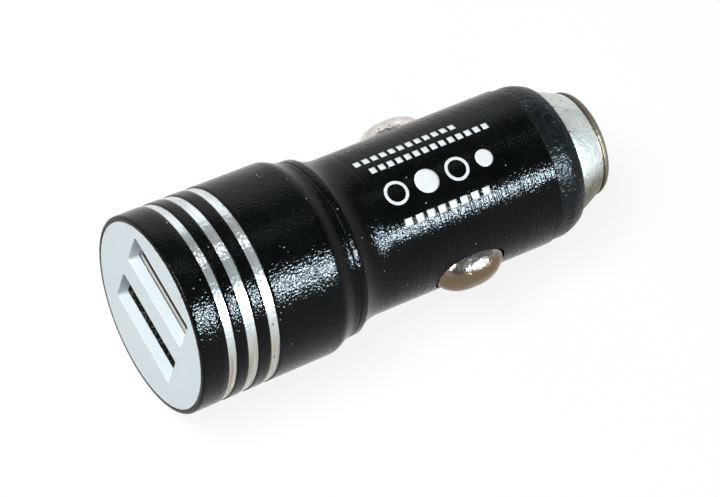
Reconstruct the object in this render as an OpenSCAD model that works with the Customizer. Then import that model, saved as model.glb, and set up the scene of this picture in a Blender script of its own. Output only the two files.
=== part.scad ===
// Car charger plug with two USB sockets, lying on its side.
// X runs along the plug from the USB face to the tip, Y across the sockets, Z from the lower socket to the upper one.
// The origin is on the plug's axis in the plane of the USB face.

/* [Head] */
// Least width of the face plate outside the sockets' corners
face_margin = 1.23; // [1:0.01:2.5]
// Length of the head's straight part
head_len = 18.4; // [17.8:0.1:21]
// Amount by which the head's radius falls towards the neck
head_draft = 0.18; // [0:0.02:0.3]
// Width of the rim around the face plate
rim_w = 0.6; // [0.5:0.05:0.8]
// Chamfer on the rim's outer edge
rim_chamfer = 0.35; // [0.1:0.05:0.5]
// Wall of the head behind the face plate
head_wall = 1.1; // [1:0.05:1.3]
// Depth of the three bright bands
band_depth = 0.12; // [0.05:0.01:0.2]
// Distance of the first bright band from the face
band_x = 3.4; // [2.5:0.1:4]
// Width of the first bright band
band_w_front = 1.05; // [0.8:0.05:1.3]
// Width of the second bright band
band_w_mid = 1.3; // [0.8:0.05:1.5]
// Width of the third bright band
band_w_back = 1.2; // [0.8:0.05:1.5]
// Black ring between the first and the second band
band_gap_front = 1.5; // [1:0.05:2]
// Black ring between the second and the third band
band_gap_back = 1.65; // [1:0.05:2]

/* [Neck and barrel] */
// Distance of the narrow bore behind the head's end
neck_wall = 0.8; // [0.5:0.1:1.5]
// Diameter of the barrel
barrel_d = 19.3; // [19:0.1:20]
// Length of the barrel's straight part
barrel_len = 23.4; // [23:0.1:26]
// Wall of the barrel
barrel_wall = 0.8; // [0.7:0.05:0.9]
// Length of the rounded shoulder behind the head
shoulder_len = 2.5; // [2:0.1:3]
// Drop of the shoulder
shoulder_drop = 0.85; // [0.5:0.05:1]
// Width of the groove in front of the bead
groove_w = 0.5; // [0.3:0.05:0.7]
// Depth of the groove below the bead
groove_depth = 0.25; // [0.1:0.05:0.35]
// Width of the bead
bead_w = 0.9; // [0.7:0.05:1.2]
// Length of the taper from the bead to the barrel
taper_len = 3.9; // [3:0.1:4.5]

/* [Face plate and sockets] */
// Thickness of the face plate
plate_t = 1.45; // [1.2:0.05:1.6]
// Width of a socket opening
port_w = 12.5; // [12.3:0.1:12.7]
// Height of a socket opening
port_h = 5.12; // [5:0.02:5.2]
// Distance between the middles of the two openings
port_pitch = 8.28; // [8.2:0.02:8.6]
// Height of the middle of the pair above the plug's axis
pair_lift = 1.26; // [0.9:0.02:1.4]
// Sheet of the socket shells
socket_sheet = 0.3; // [0.25:0.05:0.35]
// Length of the socket shells
socket_len = 13.5; // [12.5:0.1:14]
// Width of a contact tongue
tongue_w = 11.1; // [10.8:0.1:11.3]
// Thickness of a contact tongue
tongue_t = 1.84; // [1.7:0.02:1.9]
// Gap between the tongue and the socket shell beside it
tongue_gap = 0.67; // [0.6:0.01:0.75]
// Distance of the tongue's front end behind the face plate
tongue_back = 0.15; // [0.1:0.05:1]
// Length of the moulded block behind the tongue
block_len = 4.6; // [4:0.1:5.5]
// Width of a contact
pin_w = 1.0; // [0.8:0.05:1.1]
// Thickness of a contact
pin_t = 0.25; // [0.2:0.05:0.3]
// Distance of the outer contacts from the middle
pin_outer = 3.5; // [3.4:0.05:3.6]
// Distance of the inner contacts from the middle
pin_inner = 1.0; // [0.95:0.05:1.1]
// Length of the face plate's skirt
skirt_len = 2.6; // [2:0.1:4]
// Wall of the skirt
skirt_wall = 0.8; // [0.6:0.05:1]

/* [Circuit board] */
// Thickness of the circuit board
board_t = 1.6; // [1.5:0.05:1.7]
// Gap between the face plate and the board's front edge
board_gap = 1.8; // [1.5:0.1:2.5]
// Room between the board's edges and the head's bore
board_head_room = 1.7; // [1:0.1:2.5]
// Room between the board's edges and the neck's bore
board_mid_room = 1.1; // [0.8:0.1:2]
// Width of the board between the side contacts
board_w_tail = 10; // [9.5:0.1:10.2]
// Gap between the board's widest part and the neck
board_neck_gap = 0.8; // [0.5:0.1:2]
// Distance of the board's narrow end behind its step
board_tail_in = 11.8; // [11:0.1:12.6]
// Diameter of the choke
choke_d = 8.6; // [7.5:0.1:9]
// Height of the choke
choke_h = 6; // [5:0.1:6.4]
// Thickness of the choke's flanges
choke_flange = 1.1; // [0.8:0.1:1.5]
// Diameter of the choke's hub
choke_hub_d = 3.8; // [3:0.1:4.5]
// Diameter of the choke's wire
wire_d = 0.62; // [0.5:0.02:0.7]
// Distance of the choke's middle behind the board's step
choke_in = 6.8; // [6.6:0.1:7.4]
// Diameter of the input capacitor
cap_in_d = 6.3; // [5:0.1:6.5]
// Length of the input capacitor
cap_in_len = 10.5; // [8:0.1:11]
// Distance of the input capacitor's foot behind the board's step
cap_in_in = 14; // [13:0.1:14.2]
// Diameter of the output capacitor
cap_out_d = 6.3; // [5:0.1:6.5]
// Room over the output capacitor
cap_out_room = 0.8; // [0.5:0.1:2]
// Distance of the output capacitor's middle behind the board's step
cap_out_in = 8.2; // [7.6:0.1:8.4]

/* [Side contacts] */
// Distance that the side contacts stand out of the barrel
ear_stand = 1.95; // [1.85:0.05:2.3]
// Distance of the side contacts' middle from the barrel's end
ear_from_end = 12.1; // [11.5:0.1:13]
// Length of the domed part
ear_len = 9.2; // [8.5:0.1:9.6]
// Width of the domed part
ear_w = 5.8; // [5:0.1:6]
// Straight part of a side contact's wall, above its flange
ear_skirt = 0.4; // [0.2:0.05:0.6]
// Sheet of the side contacts
ear_sheet = 0.4; // [0.3:0.05:0.5]
// Length of the tabs that keep a side contact in the barrel
ear_tab = 1.4; // [1:0.1:1.6]
// Width of those tabs
ear_tab_w = 4.6; // [4:0.1:5]
// Clearance around the domed part in its window
window_clear = 0.2; // [0.1:0.05:0.3]
// Distance that a side contact can be pushed in
ear_travel = 1.8; // [1:0.1:1.9]
// Outer diameter of the side springs
side_spring_d = 3.2; // [2.8:0.1:3.4]
// Wire of the side springs
side_spring_wire = 0.32; // [0.25:0.01:0.4]
// Turns of the side springs
side_spring_turns = 6; // [4:0.5:8]
// Height of the boss inside a side spring
clip_boss_h = 0.8; // [0.5:0.1:1.2]
// Room between the boss and the inside of its spring
clip_boss_room = 0.3; // [0.2:0.05:0.5]
// Margin of the ground clips round their springs
clip_margin = 0.4; // [0.2:0.1:0.6]
// Sheet of the ground clips
clip_t = 0.4; // [0.3:0.05:0.5]

/* [Nose] */
// Step from the barrel's radius down to the collar's
collar_step = 0.2; // [0.1:0.05:0.4]
// Length of the collar outside the barrel
collar_len = 3.95; // [3.6:0.05:4.4]
// Length of the collar's straight part
collar_land = 1.9; // [1.5:0.1:2.2]
// Amount by which the collar's radius falls at the lip
lip_drop = 0.6; // [0.3:0.05:0.7]
// Thickness of the lip
lip_t = 0.8; // [0.7:0.05:1]
// Length of the collar's sleeve inside the barrel
sleeve_len = 3.6; // [3:0.1:4]
// Amount by which the sleeve's seat is cut into the barrel's wall
sleeve_step = 0.25; // [0.15:0.05:0.35]
// Wall of the collar's sleeve
sleeve_wall = 0.5; // [0.45:0.05:0.55]
// Clearance of the tip's flange in the collar's sleeve
tip_clear = 0.1; // [0.1:0.05:0.3]
// Amount by which the tip's radius falls towards its end
tip_taper = 1.55; // [1:0.05:2]
// Distance that the centre contact stands out of the collar
tip_out = 5.35; // [4.6:0.05:5.8]
// Length of the rounding at the centre contact's end
tip_round = 0.95; // [0.6:0.05:1.1]
// Wall of the centre contact
tip_wall = 0.6; // [0.5:0.05:0.7]
// Width of the flange that keeps the centre contact in the collar
tip_flange = 0.4; // [0.35:0.05:0.5]
// Thickness of that flange
tip_flange_t = 0.6; // [0.5:0.05:0.8]
// Distance that the centre contact can be pushed in
tip_travel = 2.2; // [1.5:0.1:2.4]
// Room between the centre spring and the inside of the tip
tip_spring_room = 0.6; // [0.4:0.1:1.2]
// Wire of the centre spring
tip_spring_wire = 0.6; // [0.5:0.02:0.8]
// Turns of the centre spring
tip_spring_turns = 5; // [4:0.5:6]
// Thickness of the tip's end
tip_end_wall = 0.8; // [0.6:0.05:1]
// Bevel inside the tip's end
tip_inner_round = 0.5; // [0.3:0.1:0.8]
// Width of the line turned beside the tip's rounded end
tip_line_w = 0.3; // [0.2:0.05:0.5]
// Depth of the line turned beside the tip's rounded end
tip_line_depth = 0.16; // [0.05:0.01:0.25]
// Thickness of the terminal disc
terminal_t = 0.5; // [0.4:0.05:0.6]
// Margin of the terminal disc round the centre spring
terminal_margin = 0.8; // [0.4:0.1:1]
// Length of the terminal's tab on the board
terminal_tab_len = 2.6; // [2:0.1:2.8]
// Width of the terminal's tab
terminal_tab_w = 3.2; // [2.4:0.1:4]
// Depth of the board's end in the carrier
board_in = 1.2; // [0.8:0.1:1.5]
// Thickness of the insulating carrier
carrier_t = 1.7; // [1.5:0.1:1.8]
// Height of the carrier's boss inside the collar
boss_t = 0.9; // [0.6:0.1:1.2]

/* [Chips on the board] */
// Distance of the front row of parts behind the board's step
front_row_in = 1.9; // [1.6:0.1:2.4]
// Distance of the middle row of parts behind the output capacitor
middle_row_in = 2.15; // [1.8:0.05:2.6]
// Distance of the converter chip's middle from the board's end
chip_from_end = 10.1; // [9.4:0.1:10.6]
// Distance of the two resistors behind the converter chip's middle
resistor_from_chip = 3.8; // [3.4:0.1:4.2]
// Distance of the fuse's middle from the board's end
fuse_from_end = 4.7; // [4.5:0.1:5]
// Distance of the outer parts of the front row from the board's edge
front_row_edge = 2.7; // [2.2:0.1:3.2]
// Distance of the outer capacitors of the middle row from the board's edge
middle_row_edge = 2; // [1.2:0.1:2.4]
// Distance of the two resistors from the board's edge
resistor_edge = 1.4; // [0.8:0.1:1.8]
// Length of the converter chip
chip_len = 4.9; // [4.5:0.1:5.2]
// Width of the converter chip
chip_w = 3.9; // [3.5:0.1:4.2]
// Height of the converter chip
chip_h = 1.5; // [1.2:0.1:1.8]
// Length of the port control chip
control_len = 2.9; // [2.6:0.1:3.2]
// Width of the port control chip
control_w = 1.6; // [1.4:0.1:1.8]
// Height of the port control chip
control_h = 1.1; // [0.9:0.1:1.3]
// Distance of the port control chip's middle from the plug's middle plane
control_y = 4.3; // [3.8:0.1:4.6]
// Width of a chip's leg
leg_w = 0.35; // [0.3:0.05:0.5]
// Thickness of a chip's leg
leg_t = 0.18; // [0.12:0.02:0.25]
// Distance that a chip's legs reach out
leg_reach = 0.9; // [0.7:0.1:1]
// Length of the rectifier diode
diode_len = 4.3; // [3.8:0.1:4.6]
// Width of the rectifier diode
diode_w = 2.6; // [2.2:0.1:2.8]
// Height of the rectifier diode
diode_h = 2.1; // [1.6:0.1:2.3]
// Distance of the diode's middle from the plug's middle plane
diode_y = 5; // [4.4:0.1:5.2]
// Length of the fuse
fuse_len = 3.2; // [2.8:0.1:3.4]
// Width of the fuse
fuse_w = 1.6; // [1.4:0.1:1.8]
// Height of the fuse
fuse_h = 0.8; // [0.6:0.1:1]
// Length of a chip capacitor
chip_cap_len = 2; // [1.6:0.1:2.2]
// Width of a chip capacitor
chip_cap_w = 1.25; // [1:0.05:1.4]
// Height of a chip capacitor
chip_cap_h = 1; // [0.8:0.1:1.2]
// Length of a chip resistor
resistor_len = 1.6; // [1.4:0.1:1.8]
// Width of a chip resistor
resistor_w = 0.8; // [0.6:0.1:0.9]
// Height of a chip resistor
resistor_h = 0.5; // [0.4:0.05:0.6]

/* [Clearances] */
// Clearance of pieces that are pushed together
fit_gap = 0.05; // [0.02:0.01:0.1]
// Clearance of pieces that slide
slide_gap = 0.1; // [0.05:0.01:0.15]

/* [Hidden] */

board_z = pair_lift - board_t / 2;
board_top = board_z + board_t;
upper_z = pair_lift + port_pitch / 2;
lower_z = pair_lift - port_pitch / 2;
socket_w = port_w + 2 * socket_sheet;
socket_h = port_h + 2 * socket_sheet;
socket_back_x = plate_t + socket_len;

plate_r = norm([port_w / 2, upper_z + port_h / 2]) + face_margin;
plate_seat_r = plate_r + fit_gap;
head_r = plate_seat_r + rim_w;
head_back_r = head_r - head_draft;
head_bore_r = head_r - head_wall;
bead_r = head_back_r - shoulder_drop;
barrel_r = barrel_d / 2;
barrel_bore_r = barrel_r - barrel_wall;
groove_x = head_len + shoulder_len;
bead_x = groove_x + groove_w;
taper_x = bead_x + bead_w;
barrel_end = taper_x + taper_len + barrel_len;
neck_bore_x = head_len + neck_wall;

board_x = plate_t + board_gap;
board_neck_x = neck_bore_x - board_neck_gap;
board_tail_x = board_neck_x + board_tail_in;
choke_x = board_neck_x + choke_in;
cap_in_x = board_neck_x + cap_in_in;
cap_out_x = board_neck_x + cap_out_in;
front_row_x = board_neck_x + front_row_in;
middle_row_x = cap_out_x + cap_out_d / 2 + middle_row_in;
board_w_head = 2 * (sqrt(pow(head_bore_r, 2) - pow(board_top, 2)) - board_head_room);
board_w_mid = 2 * (sqrt(pow(barrel_bore_r, 2) - pow(board_top, 2)) - board_mid_room);
solder_gap = 0.02;
cap_out_h = sqrt(pow(barrel_bore_r, 2) - pow(cap_out_d / 2, 2)) - board_top - solder_gap - cap_out_room;

dome_power = 2.4;
dome_sides = 32;
dome_rings = 8;

ear_x = barrel_end - ear_from_end;
ear_reach = barrel_r + ear_stand;
window_len = ear_len + 2 * window_clear;
window_w = ear_w + 2 * window_clear;
tab_top = sqrt(pow(barrel_bore_r - slide_gap / 2, 2) - pow(ear_tab_w / 2, 2));
tab_z = tab_top - ear_sheet;
ear_foot = tab_z + ear_skirt;
ear_dome = ear_reach - ear_foot;
clip_y = board_w_tail / 2;
clip_w = side_spring_d + 2 * clip_margin;
side_spring_y = clip_y + clip_t;
side_spring_top = ear_foot + (ear_dome - ear_sheet) * dome((side_spring_d + 0.3) / (ear_w - 2 * ear_sheet));
side_spring_len = side_spring_top - side_spring_y - fit_gap;

collar_r = barrel_r - collar_step;
collar_end = barrel_end + collar_len;
sleeve_r = barrel_bore_r + sleeve_step;
sleeve_bore_r = sleeve_r - sleeve_wall - fit_gap;
sleeve_x = barrel_end - sleeve_len;
flange_r = sleeve_bore_r - tip_clear;
tip_r = flange_r - tip_flange;
tip_end_r = tip_r - tip_taper;
lip_bore_r = tip_r + slide_gap;
tip_end = collar_end + tip_out;
flange_x = collar_end - lip_t - fit_gap - tip_flange_t;
boss_r = sleeve_bore_r - fit_gap;
boss_end = sleeve_x + boss_t;
carrier_x = sleeve_x - carrier_t;
board_end = carrier_x + board_in;
terminal_end = boss_end + terminal_t;
chip_x = board_end - chip_from_end;
fuse_x = board_end - fuse_from_end;
resistor_x = chip_x + resistor_from_chip;
tip_inner_end = tip_end - tip_end_wall;
tip_spring_d = 2 * (tip_end_r - tip_wall - tip_inner_round - tip_spring_room);
tip_spring_len = tip_inner_end - terminal_end - 2 * fit_gap;

// Turns a flat outline of radius and station about the X axis.
module turned(fn = 96) {
    rotate([0, 90, 0])
        rotate_extrude($fn = fn)
            children();
}

// Points of an arc from angle a0 to a1.
function arc(cx, cy, r, a0, a1, n = 6) =
    [for (i = [0:n]) [cx + r * cos(a0 + (a1 - a0) * i / n), cy + r * sin(a0 + (a1 - a0) * i / n)]];

// Smooth step from 0 to 1.
function ease(t) = t * t * (3 - 2 * t);

// A ring between two stations.
module ring(x0, x1, r_in, r_out) {
    turned()
        translate([r_in, x0])
            square([r_out - r_in, x1 - x0]);
}

// A rod between two stations.
module rod(x0, x1, r) {
    translate([x0, 0, 0])
        rotate([0, 90, 0])
            cylinder(r = r, h = x1 - x0, $fn = 96);
}

// A block from its lowest corner to its highest.
module block(low, high) {
    translate(low)
        cube(high - low);
}

// A slab across the YZ plane with rounded corners, from x0 to x1, centred on y = 0 and z.
module rounded_slab(x0, x1, w, h, r, z) {
    translate([x0, 0, z])
        rotate([90, 0, 90])
            linear_extrude(x1 - x0)
                rounded_rect(w, h, r);
}

module rounded_rect(w, h, r) {
    union() {
        square([w - 2 * r, h], center = true);
        square([w, h - 2 * r], center = true);
        for (sx = [-1, 1])
            for (sy = [-1, 1])
                translate([sx * (w / 2 - r), sy * (h / 2 - r)])
                    circle(r = r, $fn = 24);
    }
}

// A coil spring along Z from 0 to len, with closed ends, as one swept tube.
module coil(d, wire, len, turns, sides = 6, steps = 18) {
    rm = (d - wire) / 2;
    n = floor(turns * steps);
    ends = 0.75;
    rise = len - wire - 2 * wire * ends;
    function height(t) =
        t < ends ? wire * t
        : t > turns - ends ? len - wire - wire * (turns - t)
        : wire * ends + rise * (t - ends) / (turns - 2 * ends);
    pts = [for (i = [0:n]) let (t = turns * i / n)
        [rm * cos(360 * t), rm * sin(360 * t), wire / 2 + height(t), 360 * t]];
    verts = [for (p = pts) for (k = [0:sides - 1])
        let (u = wire / 2 * cos(360 * k / sides), v = wire / 2 * sin(360 * k / sides))
        [p[0] + u * cos(p[3]), p[1] + u * sin(p[3]), p[2] + v]];
    walls = [for (i = [0:n - 1]) for (k = [0:sides - 1])
        let (a = i * sides + k, b = i * sides + (k + 1) % sides)
        [a, b, b + sides, a + sides]];
    polyhedron(points = verts, faces = concat([for (w = walls) [w[0], w[3], w[2], w[1]]],
        [[for (k = [0:sides - 1]) k], [for (k = [sides - 1:-1:0]) n * sides + k]]));
}

// Start and end of each bright band.
function band_spans() =
    let (x1 = band_x + band_w_front, x2 = x1 + band_gap_front, x3 = x2 + band_w_mid, x4 = x3 + band_gap_back)
    [[band_x, x1], [x2, x3], [x4, x4 + band_w_back]];

// Outline of the turned shell, as radius and station.
function shell_outside() = concat(
    [[plate_seat_r, 0], [head_r - rim_chamfer, 0], [head_r, rim_chamfer]],
    [for (b = band_spans()) let (r0 = head_r - head_draft * b[0] / head_len, r1 = head_r - head_draft * b[1] / head_len)
        each [[r0, b[0]], [r0 - band_depth, b[0]], [r1 - band_depth, b[1]], [r1, b[1]]]],
    [for (i = [0:8]) [head_back_r - shoulder_drop * ease(i / 8), head_len + shoulder_len * i / 8]],
    [[bead_r - groove_depth, groove_x], [bead_r - groove_depth, bead_x]],
    arc(bead_r - 0.2, bead_x + 0.2, 0.2, 180 - 90, 0, 3),
    [for (i = [0:12]) [bead_r + (barrel_r - bead_r) * (1 - pow(1 - i / 12, 2.4)), taper_x + taper_len * i / 12]],
    [[barrel_r, barrel_end]]);

module shell() {
    color("#1d201f")
        difference() {
            turned()
                polygon(concat(shell_outside(), [
                    [sleeve_r, barrel_end],
                    [sleeve_r, sleeve_x - slide_gap],
                    [barrel_bore_r, sleeve_x - slide_gap],
                    [barrel_bore_r, neck_bore_x + head_bore_r - barrel_bore_r],
                    [head_bore_r, neck_bore_x],
                    [head_bore_r, plate_t],
                    [plate_seat_r, plate_t]]));
            for (side = [-1, 1])
                window(side);
        }
}

// Cutter for the window of one side contact.
module window(side) {
    rotate([side * -90, 0, 0])
        translate([ear_x, 0, barrel_bore_r - 2])
            linear_extrude(barrel_wall + 3)
                boat(window_len, window_w);
}

module face_plate() {
    color("#dfe8f0")
        difference() {
            union() {
                rod(0, plate_t, plate_r);
                ring(plate_t, plate_t + skirt_len, head_bore_r - fit_gap - skirt_wall, head_bore_r - fit_gap);
            }
            for (z = [upper_z, lower_z]) {
                rounded_slab(-1, plate_t + 1, port_w, port_h, 0.35, z);
                rounded_slab(plate_t, plate_t + skirt_len + 1, socket_w + 2 * slide_gap,
                    socket_h + 2 * slide_gap, 0.8, z);
            }
        }
}

// The folded metal shell of one socket. The side says which way its feet point.
module socket_shell(z, side) {
    color("#c9ccd1")
        difference() {
            union() {
                rounded_slab(plate_t, socket_back_x, socket_w, socket_h, 0.65, z);
                for (x = [plate_t + 3, plate_t + 9.5])
                    for (sy = [-1, 1])
                        socket_foot(x, sy, z, side);
            }
            rounded_slab(plate_t - 1, socket_back_x - socket_sheet, port_w, port_h, 0.35, z);
            for (y = pin_places())
                rear_slot(y, z, side);
        }
}

// Slot in a socket shell's back for one contact.
module rear_slot(y, z, side) {
    tongue_in = z + side * (port_h / 2 - tongue_gap - tongue_t);
    block([socket_back_x - socket_sheet - 1, y - pin_w / 2 - slide_gap, tongue_in - pin_t - slide_gap],
        [socket_back_x + 1, y + pin_w / 2 + slide_gap, tongue_in + pin_t + slide_gap]);
}

// One foot of a socket shell, from its side wall to the board.
module socket_foot(x, sy, z, side) {
    y0 = sy > 0 ? socket_w / 2 - socket_sheet : -socket_w / 2;
    z_in = z - side * (socket_h / 2 - 1);
    z_board = side > 0 ? board_top + solder_gap : board_z - solder_gap;
    block([x, y0, min(z_in, z_board)], [x + 1.6, y0 + socket_sheet, max(z_in, z_board)]);
}

module usb_shell_upper() {
    socket_shell(upper_z, 1);
}

module usb_shell_lower() {
    socket_shell(lower_z, -1);
}

// Moulded block and tongue of one socket. The tongue lies on the side away from the board.
module socket_block(z, side) {
    tongue_out = side * (port_h / 2 - tongue_gap);
    tongue_in = tongue_out - side * tongue_t;
    block_x = socket_back_x - socket_sheet - fit_gap - block_len;
    color("#17181a")
        difference() {
            union() {
                rounded_slab(block_x, block_x + block_len, port_w - 2 * fit_gap, port_h - 2 * fit_gap, 0.3, z);
                translate([0, 0, z])
                    tongue(block_x + 0.5, min(tongue_in, tongue_out));
            }
            for (y = pin_places())
                block([plate_t - 1, y - pin_w / 2 - fit_gap, z + tongue_in - (side > 0 ? 0.01 : pin_t + fit_gap)],
                    [block_x + block_len + 1, y + pin_w / 2 + fit_gap,
                    z + tongue_in + (side > 0 ? pin_t + fit_gap : 0.01)]);
        }
}

// The tongue with its bevelled front end.
module tongue(back_x, z0) {
    front = plate_t + tongue_back;
    bevel = 0.35;
    translate([0, tongue_w / 2, z0])
        rotate([90, 0, 0])
            linear_extrude(tongue_w)
                polygon([[front, bevel], [front + bevel, 0], [back_x, 0], [back_x, tongue_t],
                    [front + bevel, tongue_t], [front, tongue_t - bevel]]);
}

function pin_places() = [-pin_outer, -pin_inner, pin_inner, pin_outer];

module usb_block_upper() {
    socket_block(upper_z, 1);
}

module usb_block_lower() {
    socket_block(lower_z, -1);
}

// The four contacts of one socket: a strip along the tongue, and a leg through the shell's back to the board.
module socket_contacts(z, side) {
    tongue_in = z + side * (port_h / 2 - tongue_gap - tongue_t);
    back_x = socket_back_x + 0.35;
    z_board = side > 0 ? board_top + solder_gap : board_z - solder_gap;
    low = side > 0 ? tongue_in : tongue_in - pin_t;
    color("#d9b860")
        for (y = pin_places())
            union() {
                block([plate_t + tongue_back + 0.7, y - pin_w / 2, low],
                    [back_x + pin_t, y + pin_w / 2, low + pin_t]);
                block([back_x, y - pin_w / 2, min(z_board, low)],
                    [back_x + pin_t, y + pin_w / 2, max(z_board, low + pin_t)]);
            }
}

module usb_contacts_upper() {
    socket_contacts(upper_z, 1);
}

module usb_contacts_lower() {
    socket_contacts(lower_z, -1);
}

module main_board() {
    color("#1f6b43")
        translate([0, 0, board_z])
            linear_extrude(board_t)
                union() {
                    translate([board_x, -board_w_head / 2])
                        square([board_neck_x - board_x, board_w_head]);
                    translate([board_neck_x - 1, -board_w_mid / 2])
                        square([board_tail_x - board_neck_x + 1, board_w_mid]);
                    translate([board_tail_x - 1, -board_w_tail / 2])
                        square([board_end - board_tail_x + 1, board_w_tail]);
                }
}

// Drum of the choke, hanging under the board.
module choke_core() {
    color("#3b3b3d")
        translate([choke_x, 0, board_z - solder_gap - choke_h])
            rotate_extrude($fn = 64)
                polygon([[0, 0], [choke_d / 2, 0], [choke_d / 2, choke_flange], [choke_hub_d / 2, choke_flange],
                    [choke_hub_d / 2, choke_h - choke_flange], [choke_d / 2, choke_h - choke_flange],
                    [choke_d / 2, choke_h], [0, choke_h]]);
}

// The wound wire, whose outside shows each turn.
module choke_winding() {
    inner = choke_hub_d / 2 + fit_gap;
    outer = choke_d / 2 - wire_d;
    room = choke_h - 2 * choke_flange - 2 * fit_gap;
    turns = floor(room / wire_d);
    pitch = room / turns;
    color("#b4632f")
        translate([choke_x, 0, board_z - solder_gap - choke_h + choke_flange + fit_gap])
            rotate_extrude($fn = 64)
                polygon(concat([[inner, 0]],
                    [for (i = [0:turns - 1]) for (k = [0:4])
                        [outer + wire_d / 2 * sin(36 * k + 18), pitch * (i + (k + 0.5) / 5)]],
                    [[inner, room]]));
}

// Electrolytic can lying under the board, with its sleeve groove and two leads.
module input_capacitor() {
    z = board_z - solder_gap - cap_in_d / 2;
    lead_r = 0.25;
    color("#27323f")
        union() {
            translate([0, 0, z])
                turned(64)
                    polygon([[0, cap_in_x], [cap_in_d / 2 - 0.4, cap_in_x], [cap_in_d / 2, cap_in_x + 0.3],
                        [cap_in_d / 2, cap_in_x + 1.1], [cap_in_d / 2 - 0.35, cap_in_x + 1.5],
                        [cap_in_d / 2, cap_in_x + 1.9], [cap_in_d / 2, cap_in_x + cap_in_len - 0.4],
                        [cap_in_d / 2 - 0.4, cap_in_x + cap_in_len], [0, cap_in_x + cap_in_len]]);
            for (y = [-1.25, 1.25])
                translate([0, y, 0]) {
                    translate([0, 0, z])
                        rod(cap_in_x - 0.9 - lead_r, cap_in_x + 0.2, lead_r);
                    translate([cap_in_x - 0.9, 0, z - lead_r])
                        cylinder(r = lead_r, h = board_z - solder_gap - z + lead_r, $fn = 24);
                }
        }
}

module output_capacitor() {
    r = cap_out_d / 2;
    color("#b9bcc0")
        translate([cap_out_x, 0, board_top + solder_gap])
            rotate_extrude($fn = 64)
                polygon([[0, 0], [r, 0], [r, 1], [r - 0.3, 1.3], [r, 1.6], [r, cap_out_h - 0.4],
                    [r - 0.4, cap_out_h], [0, cap_out_h]]);
}

// A chip with rows of bent legs, standing on a board face. The side says which face.
module chip(x, y, len, wide, tall, legs, side) {
    face = side > 0 ? board_top + solder_gap : board_z - solder_gap;
    foot = 0.12;
    knee = tall * 0.45;
    translate([x, y, face])
        mirror([0, 0, side > 0 ? 0 : 1])
            union() {
                translate([-len / 2, -wide / 2, foot])
                    cube([len, wide, tall - foot]);
                for (i = [0:legs - 1])
                    for (sy = [-1, 1]) {
                        lx = -len / 2 + len * (i + 0.5) / legs - leg_w / 2;
                        bend = leg_reach / 2;
                        translate([0, sy * wide / 2, 0])
                            mirror([0, sy > 0 ? 0 : 1, 0]) {
                                block([lx, -leg_w, knee], [lx + leg_w, bend, knee + leg_t]);
                                block([lx, bend - leg_t, 0], [lx + leg_w, bend, knee + leg_t]);
                                block([lx, bend - leg_t, 0], [lx + leg_w, leg_reach, leg_t]);
                            }
                    }
            }
}

module converter_chip() {
    color("#26262a")
        chip(chip_x, 0, chip_len, chip_w, chip_h, 4, 1);
}

module port_control_chip() {
    color("#26262a")
        chip(front_row_x, control_y, control_len, control_w, control_h, 3, -1);
}

// Rectangular chip parts on the upper face: body and two end caps in one solid.
module chip_part(x, y, len, wide, tall, side = 1) {
    face = side > 0 ? board_top + solder_gap : board_z - solder_gap - tall;
    cap = len * 0.22;
    translate([x - len / 2, y - wide / 2, face])
        union() {
            translate([0, 0, 0.03])
                translate([cap / 2, 0.03, 0])
                    cube([len - cap, wide - 0.06, tall - 0.06]);
            cube([cap, wide, tall]);
            translate([len - cap, 0, 0])
                cube([cap, wide, tall]);
        }
}

module rectifier_diode() {
    color("#2b2b2e")
        chip_part(front_row_x, -diode_y, diode_len, diode_w, diode_h, -1);
}

module input_fuse() {
    color("#d7dadd")
        chip_part(fuse_x, 0, fuse_len, fuse_w, fuse_h);
}

module chip_capacitors() {
    color("#b58a5c")
        for (p = [[front_row_x, board_w_mid / 2 - front_row_edge], [front_row_x, 0],
                [middle_row_x, board_w_tail / 2 - middle_row_edge],
                [middle_row_x, -board_w_tail / 2 + middle_row_edge]])
            chip_part(p[0], p[1], chip_cap_len, chip_cap_w, chip_cap_h);
}

module chip_resistors() {
    color("#303238")
        for (p = [[front_row_x, -board_w_mid / 2 + front_row_edge],
                [front_row_x, board_w_mid / 4 - front_row_edge / 2],
                [front_row_x, -board_w_mid / 4 + front_row_edge / 2], [middle_row_x, 0],
                [resistor_x, board_w_tail / 2 - resistor_edge], [resistor_x, -board_w_tail / 2 + resistor_edge]])
            chip_part(p[0], p[1], resistor_len, resistor_w, resistor_h);
}

// Places a piece that is modelled for the +Y side on either side.
module on_side(side) {
    mirror([0, side > 0 ? 0 : 1, 0])
        children();
}

// Bracket on the board's edge that carries a side spring.
module ground_clip() {
    color("#c9ccd1")
        union() {
            block([ear_x - clip_w / 2, clip_y + solder_gap, -clip_w / 2], [ear_x + clip_w / 2, clip_y + clip_t, clip_w / 2]);
            translate([ear_x, clip_y + clip_t / 2, 0])
                rotate([-90, 0, 0])
                    cylinder(d = side_spring_d - 2 * side_spring_wire - clip_boss_room, h = clip_t / 2 + clip_boss_h, $fn = 32);
        }
}

module ground_clip_left() {
    on_side(1)
        ground_clip();
}

module ground_clip_right() {
    on_side(-1)
        ground_clip();
}

// Height of the dome at a share of its way out from the middle.
function dome(t) = pow(max(1 - pow(abs(t), dome_power), 0), 0.5);

// Point of the dome's plan at an angle: a slot that narrows towards rounded ends.
function boat_point(len, wide, a) = let (c = cos(a), s = sin(a))
    [len / 2 * sign(c) * pow(abs(c), 0.8), wide / 2 * sign(s) * pow(abs(s), 0.9)];

module boat(len, wide) {
    polygon([for (i = [0:dome_sides - 1]) boat_point(len, wide, 360 * i / dome_sides)]);
}

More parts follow.
